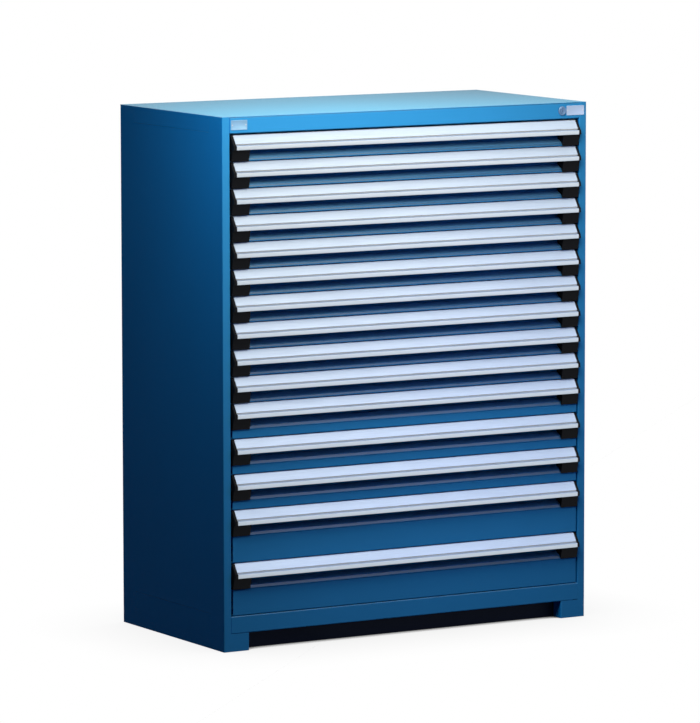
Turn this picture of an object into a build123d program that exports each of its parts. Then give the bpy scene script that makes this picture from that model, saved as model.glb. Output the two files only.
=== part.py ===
from build123d import *
import os

# A modular drawer cabinet: a welded sheet-steel housing with fifteen drawers on
# full-extension slides, and a lock that holds them all. +X is to the right, +Y to
# the back and +Z up, in millimetres. The origin is the centre of the bottom of the
# bounding box. The handles stand out in front of the housing, so the housing's
# front face lies a little ahead of the box's own front.

# Housing
cabinet_width = 1219.2
cabinet_depth = 609.6
base_height = 50.8
bottom_rail_height = 50.8
header_height = 47.625
header_gap = 3.175
body_sheet = 1.5
body_bend = 1.2
post_width = 24.5
post_depth = 30.0
rear_flange = 25.0
corner_depth = 80.0
rail_flange = 20.0
seam = 0.4

# Drawers, from the top down
low_module, low_count = 76.2, 10
middle_module, middle_count = 101.6, 3
deep_module, deep_count = 152.4, 2

# Base
base_sheet = 2.0
foot_width = 82.0
base_flange = 40.0
toe_recess = 40.0
toe_floor_gap = 1.5
toe_flange = 20.0
anchor_hole = 13.0
anchor_inset = 45.0

# Uprights and their slots
upright_width = 30.0
upright_sheet = 2.0
slot_pitch = 25.4
slot_height = 12.0
slot_width = 5.0
upright_top_gap = 4.0

# Slides: a fixed runner on the uprights, a carriage in it, and a rail on the tray
slide_gap = 0.5
post_gap = 1.6
runner_sheet = 2.0
runner_height = 35.0
runner_flange = 12.0
carriage_web = 2.0
carriage_flange = 3.0
carriage_width = 13.5
carriage_length = 500.0
carriage_set_back = 37.7
rail_sheet = 2.0
rail_to_carriage = 2.0
slide_rise = 30.0

# Drawer trays
front_sheet = 1.5
front_bend = 0.8
pan_sheet = 1.2
front_gap = 0.8
side_gap = 4.4
pan_top_drop = 8.0
pan_back_gap = 30.3
recess_depth = 24.0
recess_wall_drop = 55.0
recess_floor_drop = 67.0
strip_tilt = 2.4
strip_drop = 75.4
strip_reach = 0.6
face_setback = 0.8
top_lip = 16.0

# Handles. A reach is measured forward of the housing's front, and a drop down
# from the top of the drawer's module.
handle_drop = 1.8
handle_setback = 4.0
handle_wall = 1.8
groove_reach = 12.0
groove_drop = 26.0
groove_depth = 1.2
groove_height = 2.5
lip_reach = 19.0
lip_drop = 40.5
lip_thickness = 6.0
lip_round = 2.0

# End caps
cap_skin = 1.5
cap_collar = 6.4
cap_width = 56.0
cap_inset = 0.8
cap_fit = 0.35
cap_top_reach = 10.0
cap_foot_reach = 2.4

# Lock
lock_from_side = 84.6
escutcheon_diameter = 27.0
escutcheon_height = 3.0
barrel_diameter = 19.0
barrel_fit = 0.1
barrel_length = 23.0
nut_diameter = 27.0
nut_thickness = 4.0
plug_diameter = 13.0
plug_fit = 0.05
plug_proud = 0.6
cam_throw = 11.0
cam_tip_radius = 4.0
cam_thickness = 3.0
key_slot_width = 1.6
key_slot_height = 8.0
key_slot_depth = 4.0

# Lock bar: one flat steel blank behind the trays, with a hook for each of them
bar_sheet = 3.0
bar_width = 12.0
bar_clearance = 0.3
bar_from_lock = 12.5
bar_arm_height = 13.0
hook_gap = 2.0
hook_width = 5.0
hook_arm = 6.0
hook_rise = 6.5
tongue_thickness = 2.5
tongue_depth = 5.0
tab_width = 24.0
tab_depth = 13.0
tab_slot_width = 8.0
tab_slot_start = 1.5
tab_slot_length = 8.5

# Name plates, left blank
plate_thickness = 1.0
plate_height = 28.0
plate_corner = 2.0
left_plate_start = 28.0
left_plate_width = 53.0
right_plate_start = 8.5
right_plate_width = 61.0

# Worked out from the sizes above
modules = [low_module] * low_count + [middle_module] * middle_count + [deep_module] * deep_count
half_width = cabinet_width / 2
front = lip_reach - (cabinet_depth + lip_reach) / 2
back = front + cabinet_depth
drawers_bottom = base_height + bottom_rail_height
drawers_top = drawers_bottom + sum(modules)
header_bottom = drawers_top + header_gap
cabinet_height = header_bottom + header_height
roof = cabinet_height - body_sheet
floor = base_height + body_sheet

post_inner = half_width - post_width
carriage_outer = post_inner - post_gap
runner_inner = carriage_outer + slide_gap
upright_inner = runner_inner + runner_sheet
carriage_inner = carriage_outer - carriage_width
rail_outer = carriage_inner - rail_to_carriage
pan_half = rail_outer - rail_sheet
carriage_half_height = runner_height / 2 - runner_sheet - slide_gap
rail_half_height = carriage_half_height - carriage_flange - slide_gap
rail_tip = carriage_outer - carriage_web - slide_gap

skin_half = post_inner - side_gap - cap_skin
pan_front = front + recess_depth + front_sheet
pan_back = back - pan_back_gap
handle_half = skin_half - cap_collar
lock_x = half_width - lock_from_side
lock_z = header_bottom + header_height / 2
bar_x = lock_x + bar_from_lock
bar_back = back - 2 * body_sheet - bar_clearance
bar_front = bar_back - bar_width
slides_front = front + post_depth + seam
slides_back = back - 2 * body_sheet - seam
drawer_tops = [drawers_top - sum(modules[:number]) for number in range(len(modules))]

os.makedirs("parts", exist_ok=True)


def upright_plane(y):
    """A plane facing the front at y, on which a sketch has X to the right and Z up."""
    return Plane(origin=(0, y, 0), x_dir=(1, 0, 0), z_dir=(0, -1, 0))


def sheet_outline(path, sheet, bend):
    """The corners and the corner radii of a bent sheet, one face of which follows path.

    The other face lies one sheet to the left of the path, and each bend has the
    bend radius inside and the bend radius plus the sheet outside.
    """
    last = len(path) - 1
    runs = [(Vector(*end) - Vector(*start)).normalized() for start, end in zip(path, path[1:])]
    far_side, near_radii, far_radii = [], [], []
    for number, point in enumerate(path):
        before, after = runs[max(number - 1, 0)], runs[min(number, last - 1)]
        across = Vector(-before.Y, before.X) + Vector(-after.Y, after.X)
        far_side.append(Vector(*point) + across * (sheet / (1 + before.dot(after))))
        left_turn = before.cross(after).Z > 0
        at_end = number in (0, last)
        near_radii.append(0.0 if at_end else bend + sheet * left_turn)
        far_radii.append(0.0 if at_end else bend + sheet * (not left_turn))
    return [Vector(*point) for point in path] + far_side[::-1], near_radii + far_radii[::-1]


def bent_sheet(path, sheet, bend):
    """The section of a bent sheet, one face of which follows path."""
    corners, radii = sheet_outline(path, sheet, bend)
    with BuildSketch() as section:
        with BuildLine():
            FilletPolyline(*corners, radius=radii, close=True)
        make_face()
    return section.sketch


def polygon(*points):
    """Adds a flat-sided section to the sketch it is called in."""
    Polygon(*points, align=None)


def save(part, name):
    """Labels a finished piece and writes it to its own file."""
    part.label = name
    export_step(part, f"parts/{name}.step")


def make_side_panel():
    """The right side panel, folded round the front as a hollow post and in at the back."""
    with BuildPart() as side_panel:
        with BuildSketch(Plane.XY.offset(base_height)):
            path = [
                (post_inner, front + post_depth),
                (post_inner, front),
                (half_width, front),
                (half_width, back),
                (half_width - rear_flange, back),
            ]
            add(bent_sheet(path, body_sheet, body_bend))
        extrude(amount=roof - base_height)
        # The rims of the roof and of the floor fill these notches, and show as seams.
        with BuildSketch(Plane.YZ.offset(half_width - 2 * body_sheet)):
            for notch_bottom, notch_top in ((base_height, drawers_bottom), (header_bottom, roof)):
                polygon(
                    (front + corner_depth, notch_bottom),
                    (back - corner_depth, notch_bottom),
                    (back - corner_depth, notch_top),
                    (front + corner_depth, notch_top),
                )
        extrude(amount=3 * body_sheet, mode=Mode.SUBTRACT)
    return side_panel.part


def side_rims():
    """Adds the plan of the rims that fill the side panels' notches to a sketch."""
    for side in (-1, 1):
        with Locations((side * (half_width - body_sheet / 2), (front + back) / 2)):
            Rectangle(body_sheet, cabinet_depth - 2 * corner_depth - 2 * seam)


def make_top_panel():
    """The roof, with a rim that fills the notch in each side panel and one at the back."""
    with BuildPart() as top_panel:
        with BuildSketch(Plane.XY.offset(roof)):
            with Locations((0, (front + back) / 2)):
                Rectangle(cabinet_width, cabinet_depth)
        extrude(amount=body_sheet)
        with BuildSketch(Plane.XY.offset(header_bottom + seam)):
            side_rims()
            with Locations((0, back - body_sheet / 2)):
                Rectangle(2 * (half_width - rear_flange - seam), body_sheet)
        extrude(amount=header_height - seam)
        top_edges = top_panel.edges().group_by(Axis.Z)[-1]
        fillet(top_edges, radius=body_sheet * 0.8)
    return top_panel.part


def make_channel_rail(bottom, top):
    """A front rail between the posts: a flat face with a flange along each edge."""
    with BuildPart() as rail:
        with BuildSketch(Plane.YZ.offset(-post_inner)):
            path = [
                (front + rail_flange, top),
                (front, top),
                (front, bottom),
                (front + rail_flange, bottom),
            ]
            add(bent_sheet(path, body_sheet, body_bend))
        extrude(amount=2 * post_inner)
    return rail.part


def make_header_rail():
    """The rail above the drawers, with the hole for the lock."""
    with BuildPart() as header_rail:
        add(make_channel_rail(header_bottom, roof))
        with BuildSketch(upright_plane(front - body_sheet)):
            with Locations((lock_x, lock_z)):
                Circle(barrel_diameter / 2 + barrel_fit)
        extrude(amount=-3 * body_sheet, mode=Mode.SUBTRACT)
    return header_rail.part


def make_back_panel():
    """A flat sheet behind the flanges of the side panels and the rim of the roof."""
    inside = half_width - body_sheet - body_bend - seam
    with BuildPart() as back_panel:
        with BuildSketch(upright_plane(back - 2 * body_sheet)):
            with Locations((0, (floor + roof) / 2)):
                Rectangle(2 * inside, roof - floor)
        extrude(amount=-body_sheet)
    return back_panel.part


def make_bottom_panel():
    """The housing's floor, with a rim that fills the lower notch in each side panel."""
    inside = half_width - body_sheet - body_bend - seam
    panel_front = front + rail_flange + seam
    panel_back = back - body_sheet - seam
    with BuildPart() as bottom_panel:
        with BuildSketch(Plane.XY.offset(base_height)):
            with Locations((0, (panel_front + panel_back) / 2)):
                Rectangle(2 * inside, panel_back - panel_front)
            with Locations((0, (front + back) / 2)):
                Rectangle(cabinet_width, cabinet_depth - 2 * corner_depth - 2 * seam)
        extrude(amount=body_sheet)
        with BuildSketch(Plane.XY.offset(base_height)):
            side_rims()
        extrude(amount=bottom_rail_height - seam)
        # The posts come down past its front corners.
        with BuildSketch(Plane.XY.offset(base_height)):
            for side in (-1, 1):
                with Locations((side * half_width, front)):
                    Rectangle(2 * (post_width + seam), 2 * (post_depth + seam))
        extrude(amount=body_sheet, mode=Mode.SUBTRACT)
    return bottom_panel.part


def make_base_frame():
    """Two side skirts that end in feet, joined by a rail across the back."""
    with BuildPart() as base_frame:
        # Skirts, front feet and rear feet in plan, as the right half
        with BuildSketch():
            path = [
                (half_width - foot_width, front + toe_recess),
                (half_width - foot_width, front),
                (half_width, front),
                (half_width, back),
                (half_width - foot_width, back),
            ]
            add(bent_sheet(path, base_sheet, body_bend))
        extrude(amount=base_height)
        # The flange on the floor, with the holes for floor anchors
        flange_front = front + base_sheet
        flange_back = back - base_sheet
        flange_middle = (flange_front + flange_back) / 2
        flange_centre = half_width - base_sheet - base_flange / 2
        with BuildSketch():
            with Locations((flange_centre, flange_middle)):
                Rectangle(base_flange, flange_back - flange_front)
            with Locations(
                (flange_centre, front + anchor_inset),
                (flange_centre, back - anchor_inset),
            ):
                Circle(anchor_hole / 2, mode=Mode.SUBTRACT)
        extrude(amount=base_sheet)
        # The flange under the bottom panel
        with BuildSketch(Plane.XY.offset(base_height - base_sheet)):
            with Locations((flange_centre, flange_middle)):
                Rectangle(base_flange, flange_back - flange_front)
        extrude(amount=base_sheet)
        mirror(about=Plane.YZ)
        with BuildSketch(Plane.XY):
            with Locations((0, back - base_sheet / 2)):
                Rectangle(2 * (half_width - foot_width), base_sheet)
        extrude(amount=base_height)
    return base_frame.part


def make_toe_kick_panel():
    """The set-back panel between the front feet, with a flange under the bottom panel."""
    toe_half = half_width - foot_width - seam
    toe_face = front + toe_recess
    with BuildPart() as toe_kick_panel:
        with BuildSketch(Plane.YZ.offset(-toe_half)):
            path = [
                (toe_face + toe_flange, base_height),
                (toe_face, base_height),
                (toe_face, toe_floor_gap),
            ]
            add(bent_sheet(path, base_sheet, body_bend))
        extrude(amount=2 * toe_half)
    return toe_kick_panel.part


def make_uprights():
    """Four channels behind the posts and at the back, slotted for the runners."""
    upright_top = roof - upright_top_gap
    upright_depth = half_width - body_sheet - upright_inner
    centres = (slides_front + upright_width / 2, slides_back - upright_width / 2)
    slot_count = int(sum(modules) // slot_pitch)
    slots_middle = drawers_bottom + slot_count * slot_pitch / 2
    with BuildPart() as slotted_uprights:
        with BuildSketch(Plane.XY.offset(floor)):
            for centre in centres:
                with Locations((upright_inner + upright_depth / 2, centre)):
                    Rectangle(upright_depth, upright_width)
                inside = upright_depth - upright_sheet
                with Locations((upright_inner + upright_sheet + inside / 2, centre)):
                    Rectangle(inside, upright_width - 2 * upright_sheet, mode=Mode.SUBTRACT)
        extrude(amount=upright_top - floor)
        with BuildSketch(Plane.YZ.offset(upright_inner - upright_sheet)):
            for centre in centres:
                with Locations((centre, slots_middle)):
                    with GridLocations(slot_pitch, slot_pitch, 1, slot_count):
                        Rectangle(slot_width, slot_height)
        extrude(amount=3 * upright_sheet, mode=Mode.SUBTRACT)
        mirror(about=Plane.YZ)
    return slotted_uprights.part


def channel(outer, inner, middle, half_height, web, flange):
    """Adds a C-shaped section to the sketch it is called in.

    Its web stands at x = outer, and its flanges reach from there to x = inner.
    """
    direction = 1 if inner > outer else -1
    web_face = outer + direction * web
    polygon(
        (outer, middle - half_height),
        (inner, middle - half_height),
        (inner, middle - half_height + flange),
        (web_face, middle - half_height + flange),
        (web_face, middle + half_height - flange),
        (inner, middle + half_height - flange),
        (inner, middle + half_height),
        (outer, middle + half_height),
    )


def slide_height(top, module):
    """The height of a slide's middle, above the bottom of its drawer's module."""
    return top - module + slide_rise


def make_runners():
    """The fixed runners, one on each side of each drawer, held by the uprights."""
    with BuildPart() as drawer_runners:
        with BuildSketch(upright_plane(slides_front)):
            for top, module in zip(drawer_tops, modules):
                channel(
                    upright_inner,
                    runner_inner - runner_flange,
                    slide_height(top, module),
                    runner_height / 2,
                    runner_sheet,
                    runner_sheet,
                )
        extrude(amount=slides_front - slides_back)
        mirror(about=Plane.YZ)
    return drawer_runners.part


def make_carriage(top, module):
    """A drawer's pair of carriages, which travel half as far as the drawer."""
    with BuildPart() as carriage:
        with BuildSketch(upright_plane(front + carriage_set_back)):
            channel(
                carriage_outer,
                carriage_inner,
                slide_height(top, module),
                carriage_half_height,
                carriage_web,
                carriage_flange,
            )
        extrude(amount=-carriage_length)
        mirror(about=Plane.YZ)
    return carriage.part


def lip_underside(top):
    """The height of the underside of the lip that a tray's handle sits on."""
    return top - handle_drop - handle_wall - front_sheet


def skin_path(top, module):
    """The visible face of a drawer's front in section, from its top lip down and back."""
    lip_foot = lip_underside(top)
    bottom = top - module + front_gap
    recess_back = front + recess_depth
    path = [
        (recess_back - top_lip, lip_foot),
        (recess_back, lip_foot),
        (recess_back, top - recess_wall_drop),
        (front + strip_tilt, top - recess_floor_drop),
    ]
    if top - strip_drop > bottom + front_sheet + face_setback:
        path += [
            (front - strip_reach, top - strip_drop),
            (front + face_setback, top - strip_drop - front_sheet),
            (front + face_setback, bottom),
        ]
    else:
        path += [(front - strip_reach, bottom)]
    return path + [(pan_front, bottom)]


def make_tray(top, module):
    """A welded drawer: the formed front, the pan behind it, its rails and its lock tab."""
    pan_floor = top - module + front_gap
    pan_top = top - pan_top_drop
    pan_middle = (pan_front + pan_back) / 2
    pan_length = pan_back - pan_front
    with BuildPart() as tray:
        with BuildSketch(Plane.YZ.offset(-skin_half)):
            add(bent_sheet(skin_path(top, module), front_sheet, front_bend))
        extrude(amount=2 * skin_half)
        # The pan's walls and floor
        with BuildSketch(Plane.XY.offset(pan_floor)):
            with Locations((0, pan_middle)):
                Rectangle(2 * pan_half, pan_length)
                Rectangle(2 * (pan_half - pan_sheet), pan_length - 2 * pan_sheet, mode=Mode.SUBTRACT)
        extrude(amount=pan_top - pan_floor)
        with BuildSketch(Plane.XY.offset(pan_floor)):
            with Locations((0, pan_middle)):
                Rectangle(2 * pan_half, pan_length)
        extrude(amount=pan_sheet)
        # The rails on its sides
        with BuildSketch(upright_plane(pan_front)):
            for side in (-1, 1):
                channel(
                    side * pan_half,
                    side * rail_tip,
                    slide_height(top, module),
                    rail_half_height,
                    rail_sheet,
                    rail_sheet,
                )
        extrude(amount=-pan_length)
        # The tab that the lock bar's hook catches
        with BuildSketch(Plane.XY.offset(pan_top - pan_sheet)):
            with Locations((bar_x, pan_back + tab_depth / 2)):
                Rectangle(tab_width, tab_depth)
            with Locations((bar_x, pan_back + tab_slot_start + tab_slot_length / 2)):
                Rectangle(tab_slot_width, tab_slot_length, mode=Mode.SUBTRACT)
        extrude(amount=pan_sheet)
    return tray.part


def handle_face(top):
    """The front of a handle in section, from its top edge to the foot of its lip."""
    return [
        (front + handle_setback, top - handle_drop),
        (front - groove_reach, top - groove_drop),
        (front - groove_reach + groove_depth, top - groove_drop - groove_depth),
        (front - groove_reach + groove_depth, top - groove_drop - groove_height),
        (front - lip_reach + lip_round, top - groove_drop - groove_height - lip_round),
        (front - lip_reach, top - groove_drop - groove_height - 2 * lip_round),
        (front - lip_reach, top - lip_drop + lip_round),
        (front - lip_reach + lip_round, top - lip_drop),
        (front - lip_reach + lip_thickness - lip_round / 2, top - lip_drop),
        (front - lip_reach + lip_thickness, top - lip_drop + lip_round / 2),
    ]


def handle_outline(top):
    """A handle in section: the front, the wall behind it and the flange on the tray."""
    flange_end = front + recess_depth + front_sheet
    inner_lean = (groove_reach + handle_setback) / (groove_drop - handle_drop)
    flange_foot = top - handle_drop - handle_wall
    wall = handle_wall * (1 + inner_lean**2) ** 0.5
    inner_start = front + handle_setback + wall - handle_wall * inner_lean
    inner_foot = top - groove_drop - groove_height
    return handle_face(top) + [
        (front - lip_reach + lip_thickness, inner_foot - 2 * lip_round),
        (front - groove_reach + groove_depth + wall, inner_foot),
        (front - groove_reach + groove_depth + wall, top - groove_drop),
        (inner_start, flange_foot),
        (flange_end, flange_foot),
        (flange_end, top - handle_drop),
    ]


def cap_face(top):
    """The front of an end cap in section, below the handle, from the top down."""
    return [
        (front - cap_top_reach, top - lip_drop - cap_inset),
        (front - cap_foot_reach, top - strip_drop),
    ]


def make_handle(top):
    """A drawer's extruded handle and the two moulded caps at its ends, three solids."""
    recess_back = front + recess_depth - cap_fit
    cap_skin_start = skin_half + cap_fit
    with BuildPart() as handle:
        with BuildSketch(Plane.YZ.offset(-handle_half + cap_fit)):
            polygon(*handle_outline(top))
        extrude(amount=2 * (handle_half - cap_fit))
        # The cap's collar fills the end of the handle and of the recess.
        recess_line = [
            (recess_back, top - recess_wall_drop),
            (front + strip_tilt - cap_fit, top - recess_floor_drop + cap_fit),
            (front - strip_reach - cap_fit, top - strip_drop),
        ]
        with BuildSketch(Plane.YZ.offset(handle_half)):
            polygon(
                (front + handle_setback + cap_inset, top - handle_drop - cap_inset),
                (front - groove_reach + cap_inset, top - groove_drop),
                (front - lip_reach + lip_round, top - groove_drop - groove_height - lip_round),
                (front - lip_reach + cap_inset, top - lip_drop + lip_round),
                *cap_face(top),
                *recess_line[::-1],
                (recess_back, lip_underside(top) - cap_fit),
                (recess_back - top_lip, lip_underside(top) - cap_fit),
                (recess_back - top_lip, top - handle_drop - cap_inset),
            )
        extrude(amount=cap_skin_start - handle_half)
        with BuildSketch(Plane.YZ.offset(skin_half + cap_skin - cap_width)):
            polygon(*cap_face(top), *recess_line[::-1], (recess_back, top - lip_drop - cap_inset))
        extrude(amount=cap_width - cap_skin - skin_half + handle_half)
        # The skin over the end of the front
        with BuildSketch(Plane.YZ.offset(cap_skin_start)):
            polygon(
                (pan_front, top - handle_drop),
                (front + handle_setback, top - handle_drop),
                (front - groove_reach, top - groove_drop),
                (front - lip_reach + lip_round, top - groove_drop - groove_height - lip_round),
                (front - lip_reach + cap_inset, top - lip_drop + lip_round),
                *cap_face(top),
                (pan_front, top - strip_drop),
            )
        extrude(amount=cap_skin - cap_fit)
        caps = handle.solids().sort_by(Axis.X)[1:]
        mirror(objects=caps, about=Plane.YZ)
    return handle.part


def make_lock_housing():
    """The lock's body: an escutcheon, a barrel through the header and a nut behind it."""
    nut_front = front + body_sheet
    with BuildPart() as lock_housing:
        with BuildSketch(upright_plane(front)):
            with Locations((lock_x, lock_z)):
                Circle(escutcheon_diameter / 2)
        extrude(amount=escutcheon_height)
        chamfer(lock_housing.edges().group_by(Axis.Y)[0], length=escutcheon_height / 3)
        with BuildSketch(upright_plane(front)):
            with Locations((lock_x, lock_z)):
                Circle(barrel_diameter / 2)
        extrude(amount=-barrel_length)
        with BuildSketch(upright_plane(nut_front)):
            with Locations((lock_x, lock_z)):
                RegularPolygon(nut_diameter / 2, 6)
                Circle(barrel_diameter / 2 + barrel_fit, mode=Mode.SUBTRACT)
        extrude(amount=-nut_thickness)
        with BuildSketch(upright_plane(front - escutcheon_height)):
            with Locations((lock_x, lock_z)):
                Circle(plug_diameter / 2 + plug_fit)
        extrude(amount=-escutcheon_height - barrel_length, mode=Mode.SUBTRACT)
    return lock_housing.part


def make_lock_plug():
    """The turning plug with its key slot, and the cam on its inner end."""
    plug_face = front - escutcheon_height - plug_proud
    cam_front = front + barrel_length + slide_gap
    with BuildPart() as lock_plug:
        with BuildSketch(upright_plane(plug_face)):
            with Locations((lock_x, lock_z)):
                Circle(plug_diameter / 2)
        extrude(amount=plug_face - cam_front)
        with BuildSketch(upright_plane(plug_face)):
            with Locations((lock_x, lock_z)):
                Rectangle(key_slot_width, key_slot_height)
        extrude(amount=-key_slot_depth, mode=Mode.SUBTRACT)
        with BuildSketch(upright_plane(cam_front)) as cam:
            with Locations((lock_x, lock_z)):
                Circle(plug_diameter / 2)
            with Locations((lock_x - cam_throw, lock_z)):
                Circle(cam_tip_radius)
            make_hull()
        extrude(amount=-cam_thickness)
    return lock_plug.part


def make_lock_bar():
    """The lock bar: an upright strip behind the trays with a hook under each tab.

    An arm runs from its top to the front, where a tongue lies over the lock's cam.
    """
    cam_front = front + barrel_length + slide_gap
    tongue_foot = lock_z + plug_diameter / 2 + hook_gap
    arm_top = tongue_foot + tongue_thickness
    tongue_start = lock_x - cam_throw - cam_tip_radius
    with BuildPart() as lock_bar:
        with BuildSketch(Plane.YZ.offset(bar_x - bar_sheet / 2)):
            polygon(
                (bar_front, floor),
                (bar_back, floor),
                (bar_back, arm_top),
                (cam_front, arm_top),
                (cam_front, arm_top - bar_arm_height),
                (bar_front, arm_top - bar_arm_height),
            )
            hook_front = pan_back + tab_slot_start + (tab_slot_length - hook_width) / 2
            for top in drawer_tops:
                hook_top = top - pan_top_drop - pan_sheet - hook_gap
                polygon(
                    (bar_front + bar_width / 2, hook_top - hook_rise),
                    (hook_front + hook_width, hook_top - hook_rise),
                    (hook_front + hook_width, hook_top),
                    (hook_front, hook_top),
                    (hook_front, hook_top - hook_rise - hook_arm),
                    (bar_front + bar_width / 2, hook_top - hook_rise - hook_arm),
                )
        extrude(amount=bar_sheet)
        with BuildSketch(Plane.XY.offset(tongue_foot)):
            with Locations(((tongue_start + bar_x) / 2, cam_front + tongue_depth / 2)):
                Rectangle(bar_x - tongue_start, tongue_depth)
        extrude(amount=tongue_thickness)
    return lock_bar.part


def make_name_plates():
    """Two blank plates on the header, one at each end."""
    left_middle = left_plate_start + left_plate_width / 2 - half_width
    right_middle = half_width - right_plate_start - right_plate_width / 2
    with BuildPart() as name_plates:
        with BuildSketch(upright_plane(front)):
            with Locations((left_middle, lock_z)):
                RectangleRounded(left_plate_width, plate_height, plate_corner)
            with Locations((right_middle, lock_z)):
                RectangleRounded(right_plate_width, plate_height, plate_corner)
        extrude(amount=plate_thickness)
    return name_plates.part


side_panel = make_side_panel()
save(side_panel, "right_side_panel")
save(side_panel.mirror(Plane.YZ), "left_side_panel")
save(make_top_panel(), "top_panel")
save(make_header_rail(), "header_rail")
save(make_channel_rail(base_height, drawers_bottom - front_gap), "bottom_rail")
save(make_back_panel(), "back_panel")
save(make_bottom_panel(), "bottom_panel")
save(make_base_frame(), "base_frame")
save(make_toe_kick_panel(), "toe_kick_panel")
save(make_uprights(), "slotted_uprights")
save(make_runners(), "drawer_runners")
save(make_lock_housing(), "lock_housing")
save(make_lock_plug(), "lock_plug")
save(make_lock_bar(), "lock_bar")
save(make_name_plates(), "name_plates")
for number, (top, module) in enumerate(zip(drawer_tops, modules), start=1):
    save(make_tray(top, module), f"drawer_{number:02d}_tray")
    save(make_handle(top), f"drawer_{number:02d}_handle")
    save(make_carriage(top, module), f"drawer_{number:02d}_carriage")
print("cabinet height", cabinet_height, "front", front, "back", back)
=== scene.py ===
"""The looks of a modular drawer cabinet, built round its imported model.

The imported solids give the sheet-metal housing, the drawer trays and the slides. This
script paints them, and puts finer pulls, end caps, lock and name plates in place of
the plain ones. Lengths are in metres, in the model's frame: +X to the right, +Y to the
back and +Z up. Drawer 01 is the top one.
"""

from __future__ import annotations

import logging
import math
from collections.abc import Iterable
from dataclasses import dataclass, field
from enum import Enum
from functools import cached_property

import bmesh
import bpy
import numpy as np
from bpy.types import Material, Node, NodeOutputs, NodeSocket, NodeTree, Object, World
from mathutils import Matrix, Vector

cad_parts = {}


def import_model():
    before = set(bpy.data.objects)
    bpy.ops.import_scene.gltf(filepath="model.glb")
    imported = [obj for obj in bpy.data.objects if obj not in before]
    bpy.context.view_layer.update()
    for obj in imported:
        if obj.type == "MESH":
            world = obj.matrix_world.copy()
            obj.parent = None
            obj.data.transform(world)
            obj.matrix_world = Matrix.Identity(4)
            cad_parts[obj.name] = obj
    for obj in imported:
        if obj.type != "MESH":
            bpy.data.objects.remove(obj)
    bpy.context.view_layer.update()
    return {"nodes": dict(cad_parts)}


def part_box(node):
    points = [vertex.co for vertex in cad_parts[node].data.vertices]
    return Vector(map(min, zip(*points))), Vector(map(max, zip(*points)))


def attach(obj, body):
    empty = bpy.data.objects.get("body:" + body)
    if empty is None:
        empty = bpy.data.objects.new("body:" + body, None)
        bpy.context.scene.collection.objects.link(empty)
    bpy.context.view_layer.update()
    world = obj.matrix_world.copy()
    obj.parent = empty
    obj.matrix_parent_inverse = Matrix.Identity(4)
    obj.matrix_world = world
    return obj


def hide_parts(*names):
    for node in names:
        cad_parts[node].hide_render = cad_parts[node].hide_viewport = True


LOG = logging.getLogger("cabinet")
DRAWERS = 15
MM = 0.001

Colour = tuple[float, float, float]
Point = tuple[float, float, float]
# Reach and drop of some corners of a section, or two other measures of each
Corners = tuple[tuple[float, float], ...]


class Side(Enum):
    """The side of the cabinet that a piece stands on, and its sign along X."""

    LEFT = -1
    RIGHT = 1


# Shader nodes

VALUE, COLOUR = "NodeSocketFloat", "NodeSocketColor"
# The socket type of a group's input, by its value
INPUT_KINDS = {type(None): "NodeSocketVector", tuple: COLOUR, float: VALUE}
WHITE = (1.0, 1.0, 1.0)
NODE_STEP = 190
# The factor, the two colours and the result, among the sockets of a Mix node
MIX_INPUTS, MIX_RESULT = (0, 6, 7), 2


def empty_tree(owner: Material | World) -> NodeTree:
    """Turns the nodes of a material or a world on and clears them.

    Args:
        owner: the material or the world.

    Returns:
        Its node tree.
    """
    owner.use_nodes = True
    owner.node_tree.nodes.clear()
    return owner.node_tree


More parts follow.
